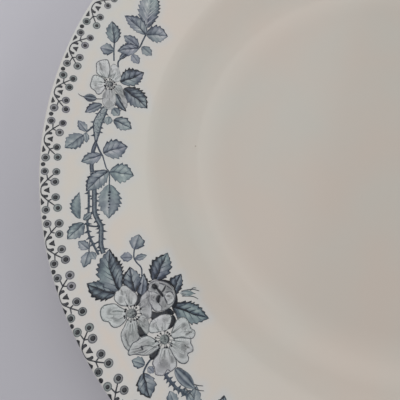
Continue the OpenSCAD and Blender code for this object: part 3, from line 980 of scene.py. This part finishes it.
def stem(fill, lines, width, thorned, dark, pale, route, rng):
    """A stem drawn as two dark lines with a paler middle, and thorns that point away from the root."""
    points = curve(route, 6)
    widths = [w for w, in curve([(w,) for w in width], 6)] if isinstance(width, tuple) else [width] * len(points)
    fill.line(points, widths, LEVEL_STEM, pale)
    # Bark marks down the middle of a broad stem.
    for i, (x, y) in enumerate(points):
        nx, ny = normal(points, i)
        if widths[i] > 1.6:
            for _ in range(3):
                aside, along = rng.uniform(-0.3, 0.3) * widths[i], rng.uniform(-0.5, 0.5)
                lines.disc(x + nx * aside + ny * along, y + ny * aside - nx * along, rng.uniform(0.10, 0.24),
                           LEVEL_STEM_LINE, rng.uniform(0.3, 0.55), 8)
    for way in (-1, 1):
        heavy = [min(0.62 if way > 0 else 0.42, w * 0.7) for w in widths]
        side = []
        for i, (x, y) in enumerate(points):
            nx, ny = normal(points, i)
            reach = way * (widths[i] - heavy[i]) / 2
            side.append((x + nx * reach, y + ny * reach))
        lines.line(side, [heavy[i] * (0.85 + 0.25 * math.sin(1.7 * i)) for i in range(len(side))],
                   LEVEL_STEM_LINE, dark + (0.05 if way > 0 else 0.0))
        i = rng.randrange(2, 5)
        while thorned and i < len(side) - 2:
            nx, ny = normal(points, i)
            x, y = points[i][0] + nx * way * widths[i] / 2, points[i][1] + ny * way * widths[i] / 2
            dx, dy = ny, -nx
            size = way * rng.uniform(0.7, 1.25)
            lines.fan([(x - dx * 0.4, y - dy * 0.4), (x + nx * size + dx * 0.25, y + ny * size + dy * 0.25),
                       (x + dx * 0.4, y + dy * 0.4)], LEVEL_STEM_LINE + 0.001, dark, 1)
            i += rng.randrange(3, 8)


# Dark gaps between the flowers, as outlines in plan.
GAPS = [
    [(-88.2, -52.2), (-87.7, -53.0), (-86.6, -54.3), (-85.2, -56.0), (-87.3, -56.3), (-88.0, -54.9)],
    [(-84.3, -48.9), (-83.0, -49.4), (-80.3, -49.1), (-78.9, -48.3), (-77.6, -49.6), (-78.0, -50.4), (-80.4, -50.2),
     (-82.0, -50.6), (-83.9, -51.7), (-84.3, -50.6)],
    [(-78.5, -50.8), (-77.6, -50.4), (-76.9, -52.0), (-77.6, -53.6), (-79.4, -54.5), (-78.5, -52.6)],
    [(-88.3, -43.4), (-87.2, -44.2), (-87.4, -46.2), (-88.9, -47.4), (-88.6, -45.4)],
    [(-85.5, -40.0), (-83.0, -39.6), (-79.0, -40.0), (-77.0, -43.0), (-76.4, -46.8), (-78.0, -48.6), (-77.4, -45.0),
     (-79.0, -41.6), (-82.0, -40.4)],
    [(-83.0, -60.2), (-81.8, -59.6), (-82.6, -61.9), (-84.0, -62.8), (-84.7, -61.6)],
]

# Flowers: centre and size of the stamens, then petals as tone, hollow, weight of the outline, the outline and its
# shading strokes as width, tone and route. The half-open flower has no stamens.
FLOWERS = [
    ((-97.9, 27.8), 1.9, [
        (0.98, 0.14, 0.34, [(-98.5, 30), (-98, 31.6), (-97.8, 33.8), (-98.1, 35.6), (-98.6, 36.8), (-100, 36.8),
         (-101.5, 36.2), (-102.3, 35.2), (-102.2, 33.2), (-102.1, 31.8), (-101, 30.8)],
         [(1.6, 0.72, [(-101.2, 34.4), (-100.2, 34), (-99.2, 33.8)])]),
        (0.98, 0.14, 0.16, [(-97.5, 29.6), (-97.8, 31.6), (-97.5, 34.2), (-96.4, 35.4), (-95.2, 34.4), (-94.5, 32.2),
         (-94.1, 30.2), (-94.8, 29), (-96.2, 28.8)],
         [(0.5, 0.45, [(-97.4, 34.2), (-97.3, 32), (-97.2, 30.2)]), (0.8, 0.7, [(-95.6, 34), (-95.1, 32),
          (-95, 30)])]),
        (0.88, 0.14, 0.18, [(-96.6, 27), (-95.2, 27.6), (-94, 27.2), (-93.5, 25.4), (-93.1, 23.6), (-92.2, 22),
         (-92.1, 20), (-92.8, 19.2), (-93.6, 21), (-94.6, 23.6), (-96, 25.2)],
         [(0.7, 0.6, [(-94.4, 26.6), (-94, 24.4), (-93.2, 22.4)])]),
        (0.92, 0.14, 0.2, [(-98.9, 25.9), (-99.9, 24.2), (-100.2, 22), (-100, 20.4), (-99, 19.2), (-97.8, 19.3),
         (-96.4, 20.2), (-95.8, 21.8), (-96, 23.8), (-96.8, 25.8)],
         [(0.7, 0.5, [(-99.4, 24.8), (-99.7, 23), (-99.3, 21.4)]), (2.2, 0.66, [(-99.4, 21.2), (-98, 20.6),
          (-96.8, 21)])]),
        (1.0, 0.14, 0.34, [(-99.2, 28.4), (-100, 29.8), (-101.4, 30.6), (-102.7, 31), (-103.6, 30.2), (-103.9, 28.8),
         (-104.3, 27.2), (-103.8, 26), (-102.7, 25.2), (-102, 24), (-100.9, 24.2), (-100, 25.4), (-99.2, 26.8)],
         [(1.4, 0.74, [(-102, 28.8), (-102.5, 27.4), (-101.6, 26), (-100.8, 25.6)])]),
    ]),
    ((-81.4, -44.6), 0, [
        (0.83, 0.15, 0.26, [(-85.2, -42.4), (-84.8, -40.8), (-83.2, -40), (-81.2, -40.1), (-79.4, -40.8),
         (-78.1, -42), (-77.2, -43.6), (-77.2, -45.6), (-78, -47.4), (-79.6, -48.6), (-81.6, -49.1), (-83.2, -49),
         (-84.2, -47.8), (-85, -46), (-85.3, -44)],
         [(1.5, 0.46, [(-84.4, -41.6), (-83.2, -41), (-82.2, -41.6)]), (1.3, 0.5, [(-80.8, -42.2), (-79.2, -42.5),
          (-77.8, -43.2)]), (0.5, 0.24, [(-82.6, -40.5), (-80.9, -41), (-79.2, -41.9), (-78.1, -42.8)]),
          (0.4, 0.22, [(-80.4, -43.5), (-79, -43.4), (-77.7, -43.6)]), (0.9, 0.56, [(-80.9, -45.8), (-80.7, -47.2),
          (-81.2, -48.3)]), (0.7, 0.62, [(-79.6, -47.2), (-79.8, -48.2)])]),
        (0.9, 0.13, 0.26, [(-84.9, -43.2), (-83.8, -43.2), (-82.4, -43.9), (-81.7, -45), (-82, -46.8), (-81.2, -47.8),
         (-81.4, -49), (-83, -49), (-84.1, -47.6), (-84.9, -45.6)],
         [(1.0, 0.5, [(-84.3, -44), (-84.1, -45.4), (-83.6, -46.4)]), (0.6, 0.58, [(-83.2, -44), (-83.1, -45.4),
          (-82.8, -46.8)])]),
        (0.92, 0.12, 0.28, [(-80, -43.9), (-78.6, -43.4), (-77.5, -44.6), (-77.5, -46), (-78.4, -47), (-79.4, -47.2),
         (-80.1, -46), (-80.3, -44.8)],
         [(2.6, 0.02, [(-84.1, -41), (-83.3, -41.7), (-82.4, -42.5)]), (1.2, 0.02, [(-82.9, -42), (-81.9, -43.2),
          (-81, -44.4), (-80.6, -44.9)]), (0.8, 0.08, [(-81.6, -43.8), (-80.9, -43.2), (-80.3, -42.2), (-80, -41.4)]),
          (1.8, 0.02, [(-81.6, -44.3), (-82.3, -45.4), (-82, -46.8)]), (0.6, 0.14, [(-80.5, -44.8), (-80, -45.9),
          (-79.5, -46.8)]), (0.9, 0.58, [(-78.7, -44.6), (-78.3, -45.8)])]),
    ]),
    ((-89.9, -49.5), 2.3, [
        (0.87, 0.15, 0.28, [(-87.6, -49.4), (-87.6, -47.4), (-87.6, -45.8), (-87.1, -44.4), (-86, -43.3),
         (-85.2, -42.8), (-84.9, -44.2), (-85, -46), (-84.3, -47.4), (-84.1, -49.2), (-84.3, -50.8), (-85.4, -51),
         (-86.6, -50.4)],
         [(1.0, 0.5, [(-86.4, -45.2), (-86.3, -47), (-86.3, -48.6)]), (0.7, 0.44, [(-85.4, -43.8), (-85.2, -45.8),
          (-84.9, -48)]), (0.8, 0.4, [(-87, -49.7), (-85.9, -50.4), (-84.9, -50.8)])]),
        (0.83, 0.14, 0.24, [(-88, -50.4), (-87.9, -51.8), (-87.3, -53.2), (-86.4, -54.6), (-85.5, -55.5),
         (-84.8, -54.4), (-85, -52.4), (-85.6, -51), (-86.6, -50.1)],
         [(0.9, 0.56, [(-86.4, -51.2), (-86, -52.6), (-85.6, -54)])]),
        (0.87, 0.19, 0.26, [(-91.3, -51.4), (-92, -53.2), (-92.8, -54.8), (-92.8, -56.2), (-92.2, -58),
         (-91.3, -59.4), (-90.3, -59.9), (-89.4, -58.4), (-88.2, -57.2), (-87.6, -56.2), (-88.2, -54.8),
         (-88.4, -52.8), (-88.8, -51.4)],
         [(2.0, 0.5, [(-90.4, -54.2), (-90, -56), (-89.6, -57.6)]), (0.4, 0.3, [(-91.9, -54.6), (-91.3, -56.6),
          (-90.8, -58.2), (-90.1, -59)])]),
        (0.96, 0.13, 0.28, [(-91.2, -47.3), (-93.2, -47), (-94.5, -46), (-95.2, -44.9), (-94.8, -43), (-93.8, -42.4),
         (-93.3, -41.4), (-92.2, -41.1), (-91, -41.8), (-90, -42.8), (-89, -43.4), (-88.5, -44.6), (-88.6, -45.9),
         (-89.4, -47)],
         [(1.0, 0.6, [(-93.3, -44), (-93.3, -45.4), (-93.2, -46.4)]), (1.0, 0.66, [(-93, -43.2), (-91.8, -43.2),
          (-90.6, -43.9), (-89.6, -44.6)]), (0.8, 0.74, [(-91.8, -43.8), (-91.4, -45.4)])]),
        (0.96, 0.13, 0.34, [(-91.8, -48.4), (-93.5, -47.5), (-95, -46.5), (-96.8, -46.6), (-98.2, -47),
         (-98.9, -47.9), (-99, -49.2), (-98.6, -50.5), (-98, -51.3), (-96.5, -51.7), (-95.8, -52.7), (-94.8, -53.3),
         (-93.4, -53), (-92.2, -52), (-91.5, -50.8)],
         [(1.1, 0.56, [(-95.2, -47.3), (-96.4, -48.4), (-96.4, -49.6), (-95.2, -50.6), (-94, -51.4),
          (-92.6, -51.4)])]),
    ]),
    ((-80.3, -57.3), 2.3, [
        (0.91, 0.19, 0.34, [(-81.8, -58.2), (-83.6, -56.9), (-85.2, -56.1), (-87, -56.4), (-88.2, -57.3),
         (-89.4, -57.9), (-90.1, -59), (-90.7, -60.6), (-90.2, -61.2), (-88.6, -61), (-86.4, -61.4), (-84.6, -61.3),
         (-83.4, -60.6), (-82, -59.6)],
         [(0.9, 0.2, [(-87.1, -58.7), (-86.8, -59.4), (-86.5, -60)]), (0.3, 0.28, [(-89.8, -59.6), (-88, -59.5),
          (-86.6, -58.9), (-84.6, -58.9), (-82.4, -59.6)]), (0.3, 0.34, [(-88.8, -60.6), (-86.8, -60.6),
          (-85, -59.8)]), (1.0, 0.58, [(-85.6, -57), (-85, -58), (-84.4, -58.6)])]),
        (0.96, 0.13, 0.26, [(-81.2, -54.9), (-82.8, -55.2), (-84.4, -55.2), (-84.9, -54.2), (-84.6, -52.6),
         (-83.9, -51.6), (-82.6, -50.9), (-81.3, -50.2), (-79.8, -50.1), (-78.5, -50.5), (-78.4, -52), (-79, -53.6),
         (-79.8, -54.7)],
         [(1.0, 0.62, [(-83.6, -52.4), (-83.4, -53.8)]), (1.4, 0.7, [(-81.2, -51.6), (-80, -51.7), (-79.2, -52.2)])]),
        (0.94, 0.13, 0.28, [(-78.4, -55.8), (-77.8, -54.2), (-77, -52.4), (-76, -51.4), (-74.8, -51.1),
         (-73.7, -51.8), (-73, -53.2), (-72.6, -54.5), (-71.6, -55.1), (-71.4, -56.2), (-72.2, -57.3), (-73.8, -57.2),
         (-75.4, -56.8), (-77.8, -57)],
         [(1.3, 0.5, [(-74.8, -52.6), (-74.5, -54.2), (-74.2, -55.8)]), (0.8, 0.62, [(-73.4, -55), (-72.8, -56.2)])]),
        (0.95, 0.13, 0.34, [(-77.9, -57.3), (-76, -57), (-74, -57.2), (-72.7, -57.5), (-72.7, -58.7), (-72.1, -59.8),
         (-72.2, -60.9), (-73.2, -61.3), (-73.7, -61.8), (-73.4, -62.8), (-73.8, -63.8), (-74.8, -64.2), (-76, -63.8),
         (-77.2, -62.6), (-78.4, -61), (-78.9, -59.6)],
         [(1.8, 0.54, [(-75.8, -59.4), (-74.4, -59.6), (-73.6, -60)]), (1.6, 0.56, [(-75.2, -60.2), (-75.2, -61.6),
          (-75.4, -62.8)])]),
        (0.93, 0.15, 0.3, [(-81.6, -59.8), (-82.2, -61.4), (-83.2, -62.5), (-83.7, -63.8), (-83.1, -65),
         (-82.9, -66.6), (-81.8, -67), (-80.6, -67), (-80, -66.2), (-79.4, -65.6), (-78.6, -66.1), (-77.6, -65.5),
         (-76.9, -64.6), (-77.1, -63), (-78, -61.4), (-79, -59.8)],
         [(2.4, 0.55, [(-82, -63.2), (-80.6, -64.2), (-79, -63.6)]), (0.6, 0.62, [(-80.4, -60.6), (-80.6, -62.4),
          (-80.8, -63.6)]), (0.9, 0.5, [(-78.7, -61.8), (-78.2, -63), (-78, -64)])]),
    ]),
]


def hatch(lines, centre, size, ring, level, rng):
    """Fine strokes on a petal: long ones out of its throat and short ones in from its outer edge."""
    x, y = sum(p[0] for p in ring) / len(ring), sum(p[1] for p in ring) / len(ring)
    angle, reach = math.atan2(y - centre[1], x - centre[0]), math.dist((x, y), centre)
    for _ in range(7 if size else 0):
        a = angle + rng.uniform(-0.42, 0.42)
        near = size * rng.uniform(1.15, 1.4)
        far = near + reach * rng.uniform(0.25, 0.7)
        lines.line([polar(*centre, r, a) for r in (near, (near + far) / 2, far)], [0.22, 0.16, 0.05], level,
                   rng.uniform(0.5, 0.68))
    for px, py in rng.sample(ring, 9):
        if math.dist((px, py), centre) > reach:
            inner = between((px, py), (x, y), rng.uniform(0.15, 0.35))
            lines.line([(px, py), inner], [0.2, 0.05], level, rng.uniform(0.58, 0.74))


def streaks(fill, centre, ring, level, tone, rng):
    """Soft short strokes along a petal, as the engraver's washes leave them."""
    x, y = sum(p[0] for p in ring) / len(ring), sum(p[1] for p in ring) / len(ring)
    reach = max(math.dist((x, y), centre), 2.0)
    dx, dy = (x - centre[0]) / reach, (y - centre[1]) / reach
    for px, py in rng.sample(ring, 7):
        sx, sy = between((x, y), (px, py), rng.uniform(0.25, 0.72))
        long = rng.uniform(0.10, 0.2) * reach
        fill.soft([(sx - dx * long, sy - dy * long), (sx, sy), (sx + dx * long, sy + dy * long)],
                  rng.uniform(0.45, 0.9), level, tone - rng.uniform(0.08, 0.22), tone)


def blossom(parts, place, turn, centre, size, petals, level, seed):
    """A flower: each petal is nearly bare glaze inside a thin ink line, modelled with soft grey strokes."""
    fill, lines, stamens = parts["petals"], parts["petal_lines"], parts["stamens"]
    rng = random.Random(seed)
    for tone, hollow, weight, route, strokes in petals:
        ring = curve([place(p) for p in route + route[:1]], 4)[:-1]
        fill.fan(ring, level, tone, 5, hollow)
        for width, shade, path in strokes:
            accent = shade < 0.3
            placed = [place(p) for p in path]
            fill.soft(placed, width * (1.3 if accent else 2.0), level + LAYER,
                      shade if accent else 0.85 * shade + 0.15 * tone, tone)
            if accent:
                core = curve(placed, 4)
                n = len(core) - 1
                lines.line(core, [0.08 + 0.5 * width * math.sin(math.pi * i / n) for i in range(n + 1)],
                           level + 1.3 * LAYER, shade)
        streaks(fill, place(centre), ring, level + 1.1 * LAYER, tone, rng)
        hatch(lines, place(centre), size, ring, level + 1.2 * LAYER, rng)
        n = len(ring)
        widths = [weight * rng.uniform(0.5, 1.1) for _ in range(n)]
        widths[0] = widths[-1] = 0.05
        lines.line(ring, widths, level + 1.5 * LAYER, 0.34 + 0.2 * (weight < 0.25))
        level += 3 * LAYER
    if not size:
        return
    x, y = place(centre)
    stamens.disc(x, y, size * 0.62, LEVEL_STAMEN, 0.56, 18, 2)
    # The boss is a crowd of tiny light and dark heads, darkest on its right.
    for k in range(26):
        a, reach = rng.uniform(0, 2 * math.pi), size * 0.55 * math.sqrt(rng.random())
        dark = 0.5 + 0.5 * math.cos(a - turn)
        tone = rng.uniform(0.25, 0.8) - 0.2 * dark
        stamens.disc(*polar(x, y, reach, a), rng.uniform(0.16, 0.34), LEVEL_STAMEN + LAYER * (1 + k % 5), tone, 8)
    arc = [polar(x, y, size * 0.52, turn + math.radians(a)) for a in range(-60, 71, 13)]
    stamens.line(arc, [0.1 + 0.35 * math.sin(math.pi * i / (len(arc) - 1)) for i in range(len(arc))],
                 LEVEL_STAMEN + 7 * LAYER, 0.10)
    count = 15
    for k in range(count):
        a = 2 * math.pi * k / count + rng.uniform(-0.13, 0.13)
        reach = size * rng.uniform(0.86, 1.22)
        tip = polar(x, y, reach, a)
        stamens.line([polar(x, y, size * 0.6, a), tip], 0.16, LEVEL_STAMEN, 0.34)
        stamens.disc(*tip, rng.uniform(0.22, 0.36), LEVEL_STAMEN + LAYER, 0.04, 8)


# Buds: base, tip, half widths, tone, then the hairs of the sepals as routes.
BUDS = [
    ((-102.2, 22.2), (-106.6, 22.8), 1.5, 1.4, 0.34, [[(-106.2, 22.8), (-107.4, 23.2), (-108.2, 23.9)],
     [(-102.4, 22.2), (-101, 22.2), (-99.9, 22.4)]]),
    ((-75.6, -43.9), (-71.2, -44.1), 0.9, 0.8, 0.62, [[(-75.2, -43.4), (-73.4, -43.0), (-71.6, -42.9),
     (-69.9, -43.4)], [(-75.2, -44.2), (-73.2, -44.3), (-71.0, -44.2)], [(-75.0, -44.8), (-73.0, -44.9),
     (-71.4, -45.2), (-70.2, -45.9)], [(-72.6, -43.2), (-71.6, -42.4), (-70.8, -42.5)]]),
    ((-77.3, -65.4), (-71.5, -71.2), 1.8, 1.8, 0.44, [[(-72.2, -69.8), (-70.9, -70.2), (-69.4, -70.4)], [(-72, -70.9),
     (-70.6, -71.5), (-69.2, -71.7)], [(-74.6, -70.6), (-73.2, -72), (-72, -73.5)], [(-76.8, -65.2), (-75.4, -65.6),
     (-74.6, -66.6)]]),
    ((-58.2, -86.6), (-54.2, -92.0), 1.5, 1.4, 0.42, [[(-54.6, -91.4), (-53.6, -92.6), (-52.4, -93.2)],
     [(-54.9, -91.8), (-54.6, -93.2), (-53.8, -94.4)]]),
]


def bud(parts, place, base, tip, left, right, tone, hairs, level, seed):
    shape = Leaf(place(base), place(tip), left, right, tone, 4, 1, "dark", seed)
    rows = [[shape.point(u, v) for v in COLUMNS] for u in [0.004 + 0.992 * i / 24 for i in range(25)]]
    uvs = [[(i / 24, v) for v in COLUMNS] for i in range(25)]
    # The folded petals show as dark and light stripes along the bud.
    tones = [[min(0.8, max(0.04, tone + 0.24 * math.sin(7.5 * v + 0.8) - 0.16 * (v > 0.6))) for v in COLUMNS]] * 25
    parts["buds"].grid(rows, uvs, level, tones)
    for hair in hairs:
        route = curve([place(p) for p in hair], 3)
        n = len(route) - 1
        parts["bud_lines"].line(route, [0.34 - 0.2 * i / n for i in range(n + 1)], level + LAYER, 0.26)


def garlands(parts):
    for k in range(GARLANDS):
        turn = 2 * math.pi * k / GARLANDS
        place = lambda p: turned(*p, turn)
        rng = random.Random(SEED + k)
        for group, name, seed, lift in ((PALE_LEAVES, "leaf_pale", 100, 0.0),
                                        (DARK_LEAVES, "leaf_dark", 200, DARK_LEAF_LIFT)):
            for i, (x0, y0, x1, y1, *rest) in enumerate(group):
                shape = Leaf(place((x0, y0)), place((x1, y1)), *rest, seed + i)
                leaf(parts[name], parts["veins"], shape, LEVEL_LEAF + LAYER * (i % 20) + lift)
        for width, thorned, dark, pale, route in STEMS:
            stem(parts["stem"], parts["stem_lines"], width, thorned, dark, pale, [place(p) for p in route], rng)
        for route in GAPS:
            parts["veins"].fan(curve([place(p) for p in route + route[:1]], 3)[:-1], LEVEL_GAP, 0.02)
        for i, (centre, size, petals) in enumerate(FLOWERS):
            blossom(parts, place, turn, centre, size, petals, LEVEL_PETAL + 15 * LAYER * max(0, i - 1), i)
        for i, (base, tip, left, right, tone, hairs) in enumerate(BUDS):
            bud(parts, place, base, tip, left, right, tone, hairs, LEVEL_BUD, 300 + i)


# ---------------------------------------------------------------- body and glaze

SEGMENTS = 540


BLEED_FROM, BLEED_REACH, BLEED_MOST = 0.076, 1.7, 0.70


def add_bleed(obj, films):
    """Marks how near each point of the glaze is to ink, for the pale haze that cobalt leaves round it."""
    samples = [p for film in films for p in film.plan[::3]]
    tree = KDTree(len(samples))
    for i, (x, y) in enumerate(samples):
        tree.insert((x * MM, y * MM, 0), i)
    tree.balance()
    values = []
    for vertex in obj.data.vertices:
        x, y, _ = vertex.co
        far = tree.find((x, y, 0))[2] / MM if math.hypot(x, y) >= BLEED_FROM else math.inf
        values.append(BLEED_MOST * math.exp(-((far / BLEED_REACH) ** 2)))
    layer = obj.data.attributes.new("bleed", "FLOAT", "POINT")
    layer.data.foreach_set("value", values)


def body(films):
    # Fine rings outside the well, where the haze round the print needs them.
    axis, *rest = face_path()
    rings = [axis, axis.lerp(rest[0], 0.5), axis.lerp(rest[0], 0.97)] + refined(rest, 0.9)
    face = lathe("face_glaze_skin", [rings + list(reversed(face_path(GLAZE_T)))], SEGMENTS)
    add_bleed(face, films)
    finish(face, glaze_material("face_glaze", True), "glaze", "face_glaze")
    outside = back_path() + [at_height(FOOT_OUTSIDE, BARE_H), at_height(inset(FOOT_OUTSIDE, GLAZE_T), BARE_H)]
    outside += list(reversed(back_path(GLAZE_T)))
    inside = [at_height(FOOT_INSIDE, BARE_H)] + underside_path() + list(reversed(underside_path(GLAZE_T)))
    inside += [at_height(inset(FOOT_INSIDE, GLAZE_T), BARE_H)]
    back = lathe("back_glaze_skin", [outside, inside], SEGMENTS)
    finish(back, glaze_material("back_glaze", False), "glaze", "back_glaze")
    clay = lathe("clay_core", [face_path(GLAZE_T) + back_path(GLAZE_T) + foot_path(GLAZE_T) + underside_path(GLAZE_T)],
                 SEGMENTS)
    finish(clay, clay_material(), "fired_clay", "clay_body")


camera()
floor()
light()

line_ink, edging_ink = solid_ink("ink_lines", SLATE), solid_ink("ink_edging", GREY)
fill_ink, rose_ink = leaf_ink("ink_leaves"), petal_ink("ink_petals")
# The films: name, ink, slot, and the CAD node that each replaces, if any.
FILMS = (
    ("dots", edging_ink, "dark_ink", "border_dots"),
    ("berries", edging_ink, "dark_ink", "border_berries"),
    ("berry_fill", edging_ink, "pale_ink"),
    ("stalks", edging_ink, "dark_ink", "border_stalks"),
    ("scallops", edging_ink, "dark_ink", "border_scallops"),
    ("triangles", edging_ink, "dark_ink", "border_triangles"),
    ("stem", line_ink, "mid_ink", "garland_stems"),
    ("stem_lines", line_ink, "dark_ink"),
    ("leaf_dark", fill_ink, "leaf_ink", "dark_leaves"),
    ("leaf_pale", fill_ink, "pale_ink", "pale_leaves"),
    ("veins", line_ink, "dark_ink"),
    ("petals", rose_ink, "petal_ink", "rose_petals"),
    ("petal_lines", edging_ink, "mid_ink"),
    ("stamens", edging_ink, "dark_ink", "rose_stamens"),
    ("buds", fill_ink, "bud_ink", "rose_buds"),
    ("bud_lines", edging_ink, "dark_ink"),
)
parts = {name: Film("print_" + name) for name, *_ in FILMS}
edging(parts)
garlands(parts)
for name, ink, slot, *nodes in FILMS:
    parts[name].build(ink, slot, *nodes)
body(parts.values())

visual_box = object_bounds()
as_list = lambda box: [[float(value) for value in corner_point] for corner_point in box]
{"cad": as_list(cad_box), "visual": as_list(visual_box)}
